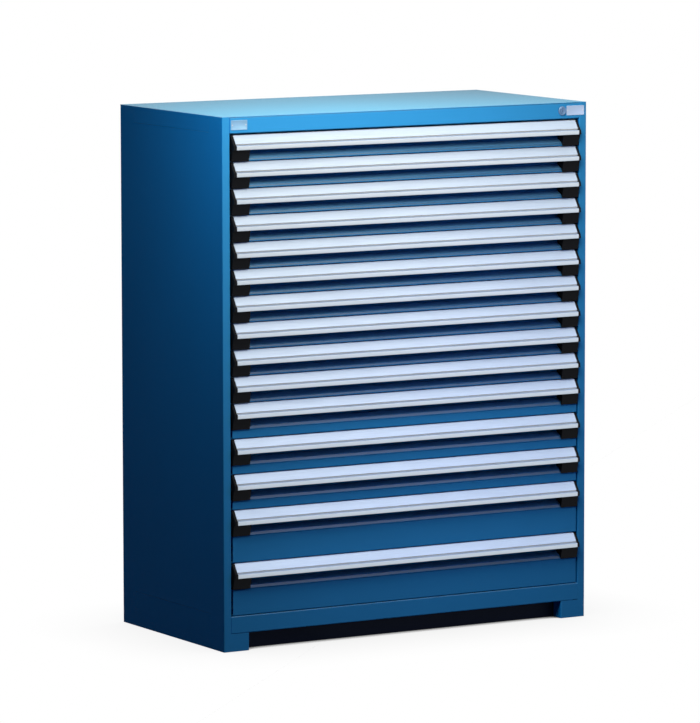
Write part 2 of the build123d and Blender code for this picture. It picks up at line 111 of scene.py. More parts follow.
class NodeBench:
    """Places and joins the nodes of one material, world or node group."""

    def __init__(self, tree: NodeTree) -> None:
        """Starts on a node tree."""
        self.tree = tree
        self.column = 0

    def join(self, sockets: Iterable[NodeSocket], *values: object) -> None:
        """Links or sets inputs, in order.

        Args:
            sockets: the inputs.
            *values: for each a socket to link, or a number or a colour to set.
        """
        for socket, value in zip(sockets, values):
            if isinstance(value, NodeSocket):
                self.tree.links.new(value, socket)
            else:
                socket.default_value = (*value, 1.0) if socket.type == "RGBA" else value

    def feed(self, node: Node, **values: object) -> Node:
        """Sets a node's properties, and links or sets its inputs.

        Args:
            node: the node.
            **values: each property, or input with its spaces as underscores. A property
                that decides which inputs there are comes first.

        Returns:
            The same node.
        """
        for name, value in values.items():
            inputs = {socket.name.lower().replace(" ", "_"): socket for socket in reversed(node.inputs[:])}
            if name in inputs:
                self.join([inputs[name]], value)
            else:
                setattr(node, name, value)
        return node

    def add(self, kind: str, **values: object) -> Node:
        """Adds a node and feeds it.

        Args:
            kind: the node's type, such as ShaderNodeTexNoise.
            **values: its properties and inputs, as feed takes them.

        Returns:
            The new node.
        """
        node = self.tree.nodes.new(kind)
        node.location = (self.column * NODE_STEP, 0)
        self.column += 1
        return self.feed(node, **values)

    def group(self, tree: NodeTree, **values: object) -> NodeOutputs:
        """Places a shared group, feeds it and gives its outputs by name."""
        return self.add("ShaderNodeGroup", node_tree=tree, **values).outputs

    def noise(self, place: NodeSocket, scale: object, **values: float) -> NodeSocket:
        """Places a noise, which runs from 0 to 1, and gives its socket."""
        return self.add("ShaderNodeTexNoise", vector=place, scale=scale, **values).outputs["Fac"]

    def math(self, operation: str, *values: object) -> NodeSocket:
        """Joins values with a Math node.

        Args:
            operation: the node's operation, such as MULTIPLY.
            *values: sockets or numbers.

        Returns:
            The result's socket.
        """
        node = self.add("ShaderNodeMath", operation=operation)
        self.join(node.inputs, *values)
        return node.outputs[0]

    def ramp(self, value: NodeSocket, low: float, high: float) -> NodeSocket:
        """Stretches a value so that low becomes 0 and high becomes 1, and clamps it."""
        return self.add("ShaderNodeMapRange", value=value, from_min=low, from_max=high).outputs["Result"]

    def mix(self, factor: object, first: object, second: object, blend: str = "MIX") -> NodeSocket:
        """Mixes two colours.

        Args:
            factor: the share of the second colour, a socket or a number.
            first: a socket or a colour.
            second: a socket or a colour.
            blend: how they are mixed, MIX or MULTIPLY.

        Returns:
            The mixed colour's socket.
        """
        node = self.add("ShaderNodeMix", data_type="RGBA", blend_type=blend)
        self.join([node.inputs[index] for index in MIX_INPUTS], factor, first, second)
        return node.outputs[MIX_RESULT]

    def mix_shaders(self, factor: object, first: Node, second: Node) -> Node:
        """Mixes two shaders.

        Args:
            factor: the share of the second shader, a socket or a number.
            first: the first shader.
            second: the second shader.

        Returns:
            The node that mixes them.
        """
        node = self.add("ShaderNodeMixShader")
        self.join(node.inputs, factor, first.outputs[0], second.outputs[0])
        return node

    def seen_directly(self) -> NodeSocket:
        """1 where the eye, a reflection or a clear piece sees the surface, else 0.

        Returns:
            The mask's socket.
        """
        path = self.add("ShaderNodeLightPath").outputs
        mirrored = self.math("MAXIMUM", path["Is Camera Ray"], path["Is Glossy Ray"])
        return self.math("MAXIMUM", mirrored, path["Is Transmission Ray"])


class GroupBench(NodeBench):
    """A bench on a new shader node group with named sockets."""

    def __init__(self, name: str, inputs: dict[str, object], outputs: list[str], kind: str = VALUE) -> None:
        """Makes the group, still empty.

        Args:
            name: the group's name.
            inputs: each input's name with its value, which is None for a vector.
            outputs: the outputs' names.
            kind: the outputs' socket type.
        """
        super().__init__(bpy.data.node_groups.new(name, "ShaderNodeTree"))
        new_socket = self.tree.interface.new_socket
        for label, value in inputs.items():
            socket = new_socket(label, in_out="INPUT", socket_type=INPUT_KINDS[type(value)])
            if value is not None:
                socket.default_value = value
        for label in outputs:
            new_socket(label, in_out="OUTPUT", socket_type=kind)
        self.given = self.add("NodeGroupInput").outputs[: len(inputs)]
        self.result = self.add("NodeGroupOutput")

    def close(self, **values: NodeSocket) -> NodeTree:
        """Links the group's outputs and gives its tree."""
        self.feed(self.result, **values)
        return self.tree


class MaterialBench(NodeBench):
    """A bench on a new material, with its Principled shader and its coordinates."""

    def __init__(self, finish: Finish, effects: Effects) -> None:
        """Makes the material, still plain.

        Args:
            finish: its finish.
            effects: the shared groups.
        """
        self.material = bpy.data.materials.new(finish.name)
        self.material.diffuse_color = (*finish.colour, 1.0)
        self.effects = effects
        super().__init__(empty_tree(self.material))
        found = self.add("ShaderNodeTexCoord").outputs
        self.place, self.normal = found["Object"], found["Normal"]
        self.shader = self.add("ShaderNodeBsdfPrincipled", specular_ior_level=finish.specular)
        self.add("ShaderNodeOutputMaterial", surface=self.shader.outputs[0])
        tree = effects.peel if finish.texture is Texture.PEEL else effects.drawn
        shape = {finish.texture.value: finish.texture_shape, "scale": finish.texture_scale}
        self.texture = self.group(tree, place=self.place, **shape)

    @cached_property
    def ledges(self) -> NodeOutputs:
        """The masks of the ways to face, placed when a finish first asks for them."""
        return self.group(self.effects.ledges, normal=self.normal)


# Effects that the finishes share


def make_tone() -> NodeTree:
    """Slow drifts of lightness, as a coat has from sheet to sheet.

    Returns:
        The group: colour times (1 + amount times a noise from -1 to 1).
    """
    inputs = {"Place": None, "Colour": (0.5, 0.5, 0.5, 1.0), "Amount": 0.05, "Scale": 3.0}
    bench = GroupBench("Tone drift", inputs, ["Colour"], COLOUR)
    place, colour, amount, scale = bench.given
    noise = bench.noise(place, scale, detail=3.0, roughness=0.55)
    drift = bench.math("MULTIPLY_ADD", noise, 2.0, -1.0)
    factor = bench.math("ADD", bench.math("MULTIPLY", drift, amount), 1.0)
    shade = bench.add("ShaderNodeVectorMath", operation="SCALE", vector=colour, scale=factor)
    return bench.close(colour=shade.outputs[0])


def make_peel() -> NodeTree:
    """The fine orange peel of a baked coat, or the grain of a mould.

    Returns:
        The group: a height, two noises of different size added together, and a mask
        that is 1 on the coarse one's peaks.
    """
    inputs = {"Place": None, "Scale": 420.0, "Fine share": 0.35}
    bench = GroupBench("Coat texture", inputs, ["Height", "Mask"])
    place, scale, share = bench.given
    coarse = bench.noise(place, scale, detail=2.0, roughness=0.5)
    finer = 3.7
    grit = bench.noise(place, bench.math("MULTIPLY", scale, finer), detail=1.0)
    height = bench.math("ADD", coarse, bench.math("MULTIPLY", grit, share))
    return bench.close(height=height, mask=bench.ramp(coarse, 0.3, 0.7))


def make_rubs() -> NodeTree:
    """Light rubs and hairline marks from use.

    Returns:
        The group: a mask that is 1 where a long thin noise and a broad one are both
        high.
    """
    bench = GroupBench("Rub marks", {"Place": None, "Amount": 0.3, "Scale": 14.0}, ["Mask"])
    place, amount, scale = bench.given
    turn, stretch, broad = (0.5, 0.35, 0.6), (1, 9, 1.6), 2.3
    turned = bench.add("ShaderNodeMapping", vector=place, rotation=turn, scale=stretch)
    marks = bench.ramp(bench.noise(turned.outputs[0], scale, detail=6.0), 0.62, 0.78)
    where = bench.ramp(bench.noise(place, broad, detail=2.0), 0.48, 0.7)
    return bench.close(mask=bench.math("MULTIPLY", bench.math("MULTIPLY", marks, where), amount))


def make_drawn() -> NodeTree:
    """Fine lines along X, as extruding or rolling leaves them.

    Returns:
        The group: a height and a mask from noise that is stretched along X.
    """
    inputs = {"Place": None, "Length": 0.02, "Scale": 700.0}
    bench = GroupBench("Drawn lines", inputs, ["Height", "Mask"])
    place, length, scale = bench.given
    squeeze = bench.add("ShaderNodeCombineXYZ", x=length, y=1.0, z=1.0)
    product = bench.add("ShaderNodeVectorMath", operation="MULTIPLY")
    bench.join(product.inputs, place, squeeze.outputs[0])
    lines = bench.noise(product.outputs[0], scale, detail=3.0)
    return bench.close(height=lines, mask=bench.ramp(lines, 0.35, 0.65))


def make_ledges() -> NodeTree:
    """Where a sheet leans back, lies flat, stands upright or faces sideways.

    Returns:
        The group: a mask for faces that lean back a little, such as the folded edges,
        one for what leans back more, such as a finger recess's floor, and one each for
        faces that lie flat, stand upright or are sides.
    """
    # How much of the normal points up, or sideways, where each mask begins and is full
    leaning, past_fold, shelf, flat = (0.12, 0.28), (0.5, 0.75), (0.78, 0.85), (0.9, 0.97)
    side = (0.7, 0.9)
    bench = GroupBench("Ledges", {"Normal": None}, ["Fold", "Shelf", "Flat", "Upright", "Side"])
    parts = bench.add("ShaderNodeSeparateXYZ", vector=bench.given[0]).outputs
    height, sideways = parts["Z"], bench.math("ABSOLUTE", parts["X"])
    leans = bench.ramp(height, *leaning)
    steeper = bench.math("SUBTRACT", 1.0, bench.ramp(height, *past_fold))
    return bench.close(
        fold=bench.math("MULTIPLY", leans, steeper),
        shelf=bench.ramp(height, *shelf),
        flat=bench.ramp(height, *flat),
        upright=bench.math("SUBTRACT", 1.0, leans),
        side=bench.ramp(sideways, *side),
    )


@dataclass(frozen=True)
class Effects:
    """The node groups that the finishes share, each made once."""

    tone: NodeTree = field(default_factory=make_tone)
    peel: NodeTree = field(default_factory=make_peel)
    rubs: NodeTree = field(default_factory=make_rubs)
    drawn: NodeTree = field(default_factory=make_drawn)
    ledges: NodeTree = field(default_factory=make_ledges)


# Finishes


class Texture(Enum):
    """The shared texture that a finish has, by the name of the input that shapes it."""

    PEEL = "fine_share"
    DRAWN = "length"


@dataclass(frozen=True)
class Finish:
    """What every finish has: a colour, a gloss, drifts of tone, rub marks and a texture.

    A rub mark has the finish's colour times a factor, plus a lift. The texture's depth
    is in metres, and its roughness is what its peaks add.
    """

    name: str
    colour: Colour
    roughness: float = 0.4
    specular: float = 0.5
    metallic: float = 0.0
    drift: float = 0.05
    drift_scale: float = 3.0
    rub: float = 0.3
    rub_scale: float = 14.0
    rub_factor: float = 0.8
    rub_lift: float = 0.0
    texture: Texture = Texture.PEEL
    texture_scale: float = 420.0
    texture_shape: float = 0.35
    texture_depth: float = 0.00009
    texture_roughness: float = 0.08

    def drifting(self, bench: MaterialBench) -> NodeSocket:
        """The colour with its slow drifts, as a socket."""
        values = {"colour": self.colour, "amount": self.drift, "scale": self.drift_scale}
        return bench.group(bench.effects.tone, place=bench.place, **values)["Colour"]

    def coloured(self, bench: MaterialBench) -> NodeSocket:
        """The drifting colour with its rub marks.

        Args:
            bench: the material's bench.

        Returns:
            The colour's socket.
        """
        rubs = bench.group(bench.effects.rubs, place=bench.place, amount=self.rub, scale=self.rub_scale)
        rubbed = tuple(part * self.rub_factor + self.rub_lift for part in self.colour)
        return bench.mix(rubs["Mask"], self.drifting(bench), rubbed)

    def roughened(self, bench: MaterialBench) -> NodeSocket:
        """What the texture adds to the roughness, as a socket."""
        return bench.math("MULTIPLY", bench.texture["Mask"], self.texture_roughness)

    def make(self, effects: Effects) -> Material:
        """Makes the material: its colour, and the texture that roughens and embosses it.

        Args:
            effects: the shared groups.

        Returns:
            The material.
        """
        bench = MaterialBench(self, effects)
        height = bench.texture["Height"]
        bump = bench.add("ShaderNodeBump", height=height, distance=self.texture_depth, strength=1.0)
        rough = bench.math("ADD", self.roughened(bench), self.roughness)
        bench.feed(bench.shader, roughness=rough, normal=bump.outputs[0])
        bench.feed(bench.shader, metallic=self.metallic, base_color=self.coloured(bench))
        return bench.material


@dataclass(frozen=True)
class PowderCoat(Finish):
    """A sprayed and baked coat on sheet steel, with its orange peel.

    Each tint is a factor on the colour, and paints light or shade by the way a face turns:
    painted shade makes the sides a deeper blue, the folds are painted darker and greyer
    under a coat laid only on them for a sheen, painted light makes the floors of the
    recesses lighter and greyer, and a painted sheen makes what lies flat paler. What lies
    flat is also smoother.
    """

    drift: float = 0.06
    drift_scale: float = 2.6
    rub: float = 0.25
    rub_lift: float = 0.02
    # Painted shade: the sides are tinted a deeper, darker blue
    side_shade_tint: Colour = (0.2, 0.85, 1.18)
    # Painted shade and greying on the folds, under the painted sheen of their coat
    fold_shade_tint: Colour = (0.6, 0.45, 0.42)
    # Painted light: the floors of the recesses are tinted lighter and greyer
    shelf_light_tint: Colour = (3.6, 1.22, 0.93)
    # Painted sheen: what lies flat is tinted paler
    flat_sheen_tint: Colour = (1.7, 1.1, 0.8)
    # A coat laid only on the folds, for a painted sheen
    fold_sheen_coat: float = 0.9
    gloss_roughness: float = 0.25
    flat_polish: float = 0.19

    def coloured(self, bench: MaterialBench) -> NodeSocket:
        """The worn colour with a painted-light tint for each way to face, and a coat for a painted sheen on
        the folds.

        Args:
            bench: the material's bench.

        Returns:
            The colour's socket.
        """
        # Painted light and shade, by the way each face turns
        tint: object = WHITE
        tints = (self.side_shade_tint, self.fold_shade_tint, self.shelf_light_tint, self.flat_sheen_tint)
        for mask, factor in zip(("Side", "Fold", "Shelf", "Flat"), tints):
            tint = bench.mix(bench.ledges[mask], tint, factor)
        # A coat only on the folds, for a painted sheen there
        gloss = bench.math("MULTIPLY", bench.ledges["Fold"], self.fold_sheen_coat)
        bench.feed(bench.shader, coat_weight=gloss, coat_roughness=self.gloss_roughness)
        return bench.mix(1.0, super().coloured(bench), tint, "MULTIPLY")

    def roughened(self, bench: MaterialBench) -> NodeSocket:
        """What the peel adds to the roughness, less the polish of what lies flat."""
        polish = bench.math("MULTIPLY", bench.ledges["Flat"], self.flat_polish)
        return bench.math("SUBTRACT", super().roughened(bench), polish)


@dataclass(frozen=True)
class ExtrudedAluminium(Finish):
    """Satin anodised aluminium, with fine lines along the extrusion.

    The tint is a factor on the colour of upright faces, a painted highlight that makes them brighter.
    """

    metallic: float = 1.0
    drift: float = 0.03
    drift_scale: float = 4.0
    texture: Texture = Texture.DRAWN
    texture_scale: float = 900.0
    texture_shape: float = 0.012
    texture_depth: float = 0.00001
    texture_roughness: float = 0.07
    # Painted highlight: upright faces are tinted brighter
    upright_highlight_tint: Colour = (1.26, 1.15, 1.0)
    line_share: float = 0.12
    line_factor: float = 0.72

    def coloured(self, bench: MaterialBench) -> NodeSocket:
        """The drifting colour with the drawn lines, and a painted highlight where it stands upright.

        Args:
            bench: the material's bench.

        Returns:
            The colour's socket.
        """
        share = bench.math("MULTIPLY", bench.texture["Mask"], self.line_share)
        line = tuple(part * self.line_factor for part in self.colour)
        lined = bench.mix(share, self.drifting(bench), line)
        # Painted highlight on what stands upright
        tint = bench.mix(bench.ledges["Upright"], WHITE, self.upright_highlight_tint)
        return bench.mix(1.0, lined, tint, "MULTIPLY")


@dataclass(frozen=True)
class MouldedPlastic(Finish):
    """Black moulded plastic with a fine spark-eroded grain."""

    drift: float = 0.15
    drift_scale: float = 30.0
    rub: float = 0.35
    rub_scale: float = 40.0
    rub_factor: float = 2.2
    texture_scale: float = 1500.0
    texture_shape: float = 0.6
    texture_depth: float = 0.00006
    texture_roughness: float = 0.1


@dataclass(frozen=True)
class PlatedSteel(Finish):
    """Zinc or nickel plating on steel, with the clouds that a bath leaves."""

    metallic: float = 1.0
    drift: float = 0.12
    drift_scale: float = 22.0
    rub: float = 0.4
    rub_scale: float = 30.0
    rub_factor: float = 0.6
    texture: Texture = Texture.DRAWN
    texture_scale: float = 500.0
    texture_shape: float = 0.05
    texture_depth: float = 0.00002
    texture_roughness: float = 0.12


class Palette:
    """Every finish on the cabinet, as Blender materials."""

    def __init__(self) -> None:
        """Makes the shared groups and the materials."""
        made, plate = Effects(), {"roughness": 0.42, "drift": 0.03, "texture_shape": 0.02}
        self.blue = PowderCoat("blue_powder_coat", (0.029, 0.25, 0.62), 0.45, 0.02).make(made)
        self.black_paint = PowderCoat("black_powder_coat", (0.002, 0.006, 0.02), 0.5, 0.08).make(made)
        self.aluminium = ExtrudedAluminium("anodised_aluminium", (0.445, 0.55, 0.7), 0.6).make(made)
        # Painted shade: a darker, greyer aluminium for the faces inside the pull's groove
        self.groove_metal = ExtrudedAluminium("shaded_groove", (0.46, 0.48, 0.52), 0.6).make(made)
        self.plastic = MouldedPlastic("black_moulded_plastic", (0.003, 0.0035, 0.005), 0.55, 0.1).make(made)
        self.zinc = PlatedSteel("zinc_plated_steel", (0.56, 0.57, 0.58), 0.33).make(made)
        lock = PlatedSteel("nickel_plated_lock", (0.14, 0.24, 0.4), 0.3, drift=0.04, texture_shape=0.3)
        self.nickel = lock.make(made)
        self.silver_plate = PlatedSteel("silver_plate", (0.39, 0.5, 0.68), **plate).make(made)
        self.pale_plate = PlatedSteel("pale_plate", (0.24, 0.44, 0.64), **plate).make(made)


# Surfaces


def rounded_corners(corners: np.ndarray, radii: np.ndarray, steps: int = 5) -> np.ndarray:
    """Rounds the corners of a closed outline.

    Each corner becomes an arc that touches both of its sides. With u and v the unit
    directions to its neighbours, the arc's centre lies on the bisector at radius over
    the sine of half the angle between them, and the points between the two feet on the
    sides come from turning one radius evenly into the other.

    Args:
        corners: the corners, n by 2.
        radii: one radius for each corner.
        steps: how many lines each arc has.

    Returns:
        The rounded outline, n times (steps + 1) by 2.
    """
    before = np.roll(corners, 1, axis=0) - corners
    after = np.roll(corners, -1, axis=0) - corners
    before /= np.linalg.norm(before, axis=1, keepdims=True)
    after /= np.linalg.norm(after, axis=1, keepdims=True)
    half = np.arccos(np.clip((before * after).sum(1), -1, 1)) / 2
    bisector = before + after
    bisector /= np.linalg.norm(bisector, axis=1, keepdims=True)
    centre = corners + bisector * (radii / np.sin(half))[:, None]
    foot = (radii / np.tan(half))[:, None]
    first, last = corners + before * foot - centre, corners + after * foot - centre
    turn = math.pi - 2 * half
    share = np.linspace(0, 1, steps + 1)[None, :, None]
    turned = turn[:, None, None]
    blend = np.sin((1 - share) * turned) * first[:, None] + np.sin(share * turned) * last[:, None]
    return (centre[:, None] + blend / np.sin(turned)).reshape(-1, 2)


def loft(sections: np.ndarray) -> tuple[np.ndarray, list[list[int]]]:
    """Joins closed sections in order into one closed surface.

    Point j of section i is joined to point j of section i + 1 by a four-sided face,
    and the first and the last section are closed by a face each.

    Args:
        sections: the sections' points, m by n by 3.

    Returns:
        The points and the faces.
    """
    rows, columns = sections.shape[:2]
    index = np.arange(rows * columns).reshape(rows, columns)
    after = np.roll(index, -1, axis=1)
    quads = np.stack([index[:-1], after[:-1], after[1:], index[1:]], axis=-1).reshape(-1, 4)
    return sections.reshape(-1, 3), [*quads.tolist(), index[0][::-1].tolist(), index[-1].tolist()]


def ring_surface(profile: np.ndarray, centre: Vector, steps: int = 64) -> np.ndarray:
    """Turns a closed profile round an axis along Y.

    A profile point with radius r and depth y goes to the centre plus r times the
    cosine of the angle along X, and r times its sine along Z.

    Args:
        profile: the radius and the y of each point, n by 2.
        centre: a point on the axis. Its y isn't used.
        steps: how many sections go round.

    Returns:
        The grid of points, steps by n by 3.
    """
    angle = np.linspace(0, 2 * math.pi, steps, endpoint=False)[:, None]
    radius, depth = profile[None, :, 0], profile[None, :, 1]
    x = centre.x + radius * np.cos(angle)
    z = centre.z + radius * np.sin(angle)
    return np.stack([x, np.broadcast_to(depth, x.shape), z], axis=-1)


def closed_ring(sections: np.ndarray) -> tuple[np.ndarray, list[list[int]]]:
    """Joins closed sections in order, and the last one to the first.

    Args:
        sections: the sections' points, m by n by 3.

    Returns:
        The points and the four-sided faces.
    """
    rows, columns = sections.shape[:2]
    index = np.arange(rows * columns).reshape(rows, columns)
    below, beside = np.roll(index, -1, axis=0), np.roll(index, -1, axis=1)
    across = np.roll(below, -1, axis=1)
    faces = np.stack([index, below, across, beside], axis=-1).reshape(-1, 4)
    return sections.reshape(-1, 3), faces.tolist()


MERGE_DISTANCE = 1e-6
BEVEL_ANGLE = 40.0


def dress(
    name: str,
    surface: tuple[np.ndarray, list[list[int]]],
    material: Material,
    sharp_angle: float = 32.0,
) -> Object:
    """Makes a clean mesh object: no doubles, faces outwards, edges sharp by angle.

    Args:
        name: the piece's name.
        surface: its points, n by 3, and its faces, as lists of point numbers.
        material: its finish.
        sharp_angle: the angle in degrees above which an edge stays sharp.

    Returns:
        The object, linked to the scene.
    """
    mesh = bpy.data.meshes.new(name)
    mesh.from_pydata(surface[0].tolist(), [], surface[1])
    shape = bmesh.new()
    shape.from_mesh(mesh)
    bmesh.ops.remove_doubles(shape, verts=shape.verts, dist=MERGE_DISTANCE)
    bmesh.ops.dissolve_degenerate(shape, edges=shape.edges, dist=MERGE_DISTANCE)
    bmesh.ops.recalc_face_normals(shape, faces=shape.faces)
    if shape.calc_volume(signed=True) < 0:
        bmesh.ops.reverse_faces(shape, faces=shape.faces)
    shape.to_mesh(mesh)
    shape.free()
    mesh.shade_smooth()
    mesh.set_sharp_from_angle(angle=math.radians(sharp_angle))
    mesh.materials.append(material)
    piece = bpy.data.objects.new(name, mesh)
    bpy.context.scene.collection.objects.link(piece)
    return piece


def soften(piece: Object, width: float, segments: int = 2) -> None:
    """Rounds a piece's sharp edges with a Bevel modifier.

    Args:
        piece: the piece.
        width: the bevel's width.
        segments: how many faces each bevel has.
    """
    bevel = piece.modifiers.new("rounded edges", "BEVEL")
    bevel.width = width
    bevel.segments = segments
    bevel.limit_method = "ANGLE"
    bevel.angle_limit = math.radians(BEVEL_ANGLE)
    bevel.harden_normals = True


# Pieces


@dataclass
class DrawerPlace:
    """Where one drawer stands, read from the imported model.

    A section's reach is measured forward of the housing's front, and its drop down from
    the top of the drawer's pull.
    """

    number: int
    front: float
    handle_top: float

    @property
    def body(self) -> str:
        """The body that the drawer's pieces ride on."""
        return f"drawer_{self.number:02d}"

    @property
    def handle_node(self) -> str:
        """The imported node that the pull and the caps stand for."""
        return f"{self.body}_handle"

    def at(self, section: np.ndarray, x: float) -> np.ndarray:
        """Puts a section at one x.

        Args:
            section: reach and drop of each point, n by 2.
            x: where the section stands.

        Returns:
            The points, n by 3.
        """
        y, z = self.front - section[:, 0], self.handle_top - section[:, 1]
        return np.stack([np.full(len(section), x), y, z], axis=1)


@dataclass
class PullBar:
    """The extruded aluminium pull along the top edge of a drawer's front."""

    half_length: float = 0.57245
    back_reach: float = -0.0255
    top_reach: float = -0.004
    wall: float = 0.0018
    groove_reach: float = 0.012
    groove_drop: float = 0.0238
    groove_depth: float = 0.0026
    groove_height: float = 0.0029
    lip_reach: float = 0.019
    lip_top: float = 0.02935
    lip_drop: float = 0.0411
    lip_thickness: float = 0.006
    lip_web: float = 0.00135
    corner_rounds_mm: tuple[float, ...] = (0.9, 0.35, 0.25, 0.4, 2.0, 2.0, 0.9, 0.6, 0.5, 0.5, 0.8, 0.3, 0.3)
    edge_round: float = 0.0003
    sharp_angle: float = 28.0
    slack: float = 0.0002

    def section(self) -> np.ndarray:
        """The pull's section, with every corner rounded.

        Returns:
            Reach and drop of each point, n by 2.
        """
        lean = (self.groove_reach - self.top_reach) / self.groove_drop
        wall = self.wall * math.hypot(1, lean)
        groove = self.groove_reach - self.groove_depth
        inner_start = self.top_reach - wall + self.wall * lean
        corners = np.array(
            [
                (self.top_reach, 0.0),
                (self.groove_reach, self.groove_drop),
                (groove, self.groove_drop + self.groove_depth),
                (groove, self.groove_drop + self.groove_height),
                (self.lip_reach, self.lip_top),
                (self.lip_reach, self.lip_drop),
                (self.lip_reach - self.lip_thickness, self.lip_drop),
                (self.lip_reach - self.lip_thickness, self.lip_top + self.lip_web),
                (groove - wall, self.groove_drop + self.groove_height),
                (groove - wall, self.groove_drop),
                (inner_start, self.wall),
                (self.back_reach, self.wall),
                (self.back_reach, 0.0),
            ]
        )
        return rounded_corners(corners, np.array(self.corner_rounds_mm) * MM)

    def build(self, place: DrawerPlace, palette: Palette) -> Object:
        """Makes the pull of one drawer.

        Args:
            place: the drawer.
            palette: the finishes.

        Returns:
            The pull.
        """
        section, stations = self.section(), (-self.half_length, self.half_length)
        surface = loft(np.stack([place.at(section, x) for x in stations]))
        piece = dress(f"{place.body}_pull", surface, palette.aluminium, self.sharp_angle)
        self.shade_groove(piece, place, palette)
        soften(piece, self.edge_round)
        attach(piece, place.body)
        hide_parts(place.handle_node)
        return piece

    def shade_groove(self, piece: Object, place: DrawerPlace, palette: Palette) -> None:
        """Gives the faces inside the groove a darker, greyer metal: painted shade.

        A face belongs to the groove if its middle is set back from the groove's mouth,
        in front of the wall behind it, and between the groove's top and bottom.

        Args:
            piece: the pull.
            place: its drawer.
            palette: the finishes.
        """
        mesh = piece.data
        middles = np.zeros(len(mesh.polygons) * 3)
        mesh.polygons.foreach_get("center", middles)
        _, y, z = middles.reshape(-1, 3).T
        reach, drop = place.front - y, place.handle_top - z
        behind = self.groove_reach - self.groove_depth - self.slack
        mouth = self.groove_reach - self.slack
        inside = (reach > behind) & (reach < mouth) & (drop > self.groove_drop)
        inside &= drop < self.groove_drop + self.groove_height + self.slack / 2
        # The second material is painted shade in the groove
        mesh.materials.append(palette.groove_metal)
        mesh.polygons.foreach_set("material_index", inside.astype(np.int32))
        mesh.update()


@dataclass
class EndCap:
    """The moulded cap at one end of a drawer's pull and finger recess.

    Its block fills the end of the recess, its collar the end of the pull, and its skin
    covers the end of the drawer's front.
    """

    block_end: float = 0.5247
    collar_start: float = 0.5728
    skin_start: float = 0.57955
    skin_end: float = 0.5807
    skin_top: float = -0.004
    skin_fold: float = 0.012
    skin_back: float = -0.0255
    edge_round: float = 0.0005

    face: Corners = ((0.010, 0.0417), (0.0024, 0.0736))
    recess: Corners = ((0.00095, 0.0736), (-0.00205, 0.06485), (-0.02365, 0.0532))
    collar_top: Corners = ((-0.0048, 0.0008), (0.0112, 0.0242), (0.017, 0.0287), (0.0182, 0.0409))
    collar_back: Corners = ((-0.02365, 0.00365), (-0.00765, 0.00365), (-0.00765, 0.0008))

    def sections(self) -> tuple[np.ndarray, np.ndarray, np.ndarray]:
        """The sections of block, collar and skin, with matching points.

        Where a section has fewer corners, the spare points lie on its nearest corner
        or side, so that a loft joins the three by flat steps.

        Returns:
            The three sections, reach and drop of each point, 12 by 2.
        """
        under, back = self.face[0], self.recess[-1]
        block = [under] * 4 + [*self.face, *self.recess] + [(back[0], under[1])] * 3
        collar = [*self.collar_top, *self.face, *self.recess, *self.collar_back]
        back_drops = (self.face[1][1], back[1], self.collar_back[0][1], 0.0)
        skin = [
            (self.skin_top, 0.0),
            (self.skin_fold, self.collar_top[1][1]),
            *self.collar_top[2:],
            *self.face,
            self.recess[0],
            *((self.skin_back, drop) for drop in back_drops),
            (self.collar_back[2][0], 0.0),
        ]
        return np.array(block), np.array(collar), np.array(skin)

    def build(self, place: DrawerPlace, side: Side, palette: Palette) -> Object:
        """Makes the cap at one end of one drawer.

        Args:
            place: the drawer.
            side: the end that the cap is on.
            palette: the finishes.

        Returns:
            The cap.
        """
        block, collar, skin = self.sections()
        stations = (
            (block, self.block_end),
            (block, self.collar_start),
            (collar, self.collar_start),
            (collar, self.skin_start),
            (skin, self.skin_start),
            (skin, self.skin_end),
        )
        surface = loft(np.stack([place.at(section, side.value * x) for section, x in stations]))
        piece = dress(f"{place.body}_cap_{side.name.lower()}", surface, palette.plastic)
        soften(piece, self.edge_round)
        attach(piece, place.body)
        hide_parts(place.handle_node)
        return piece


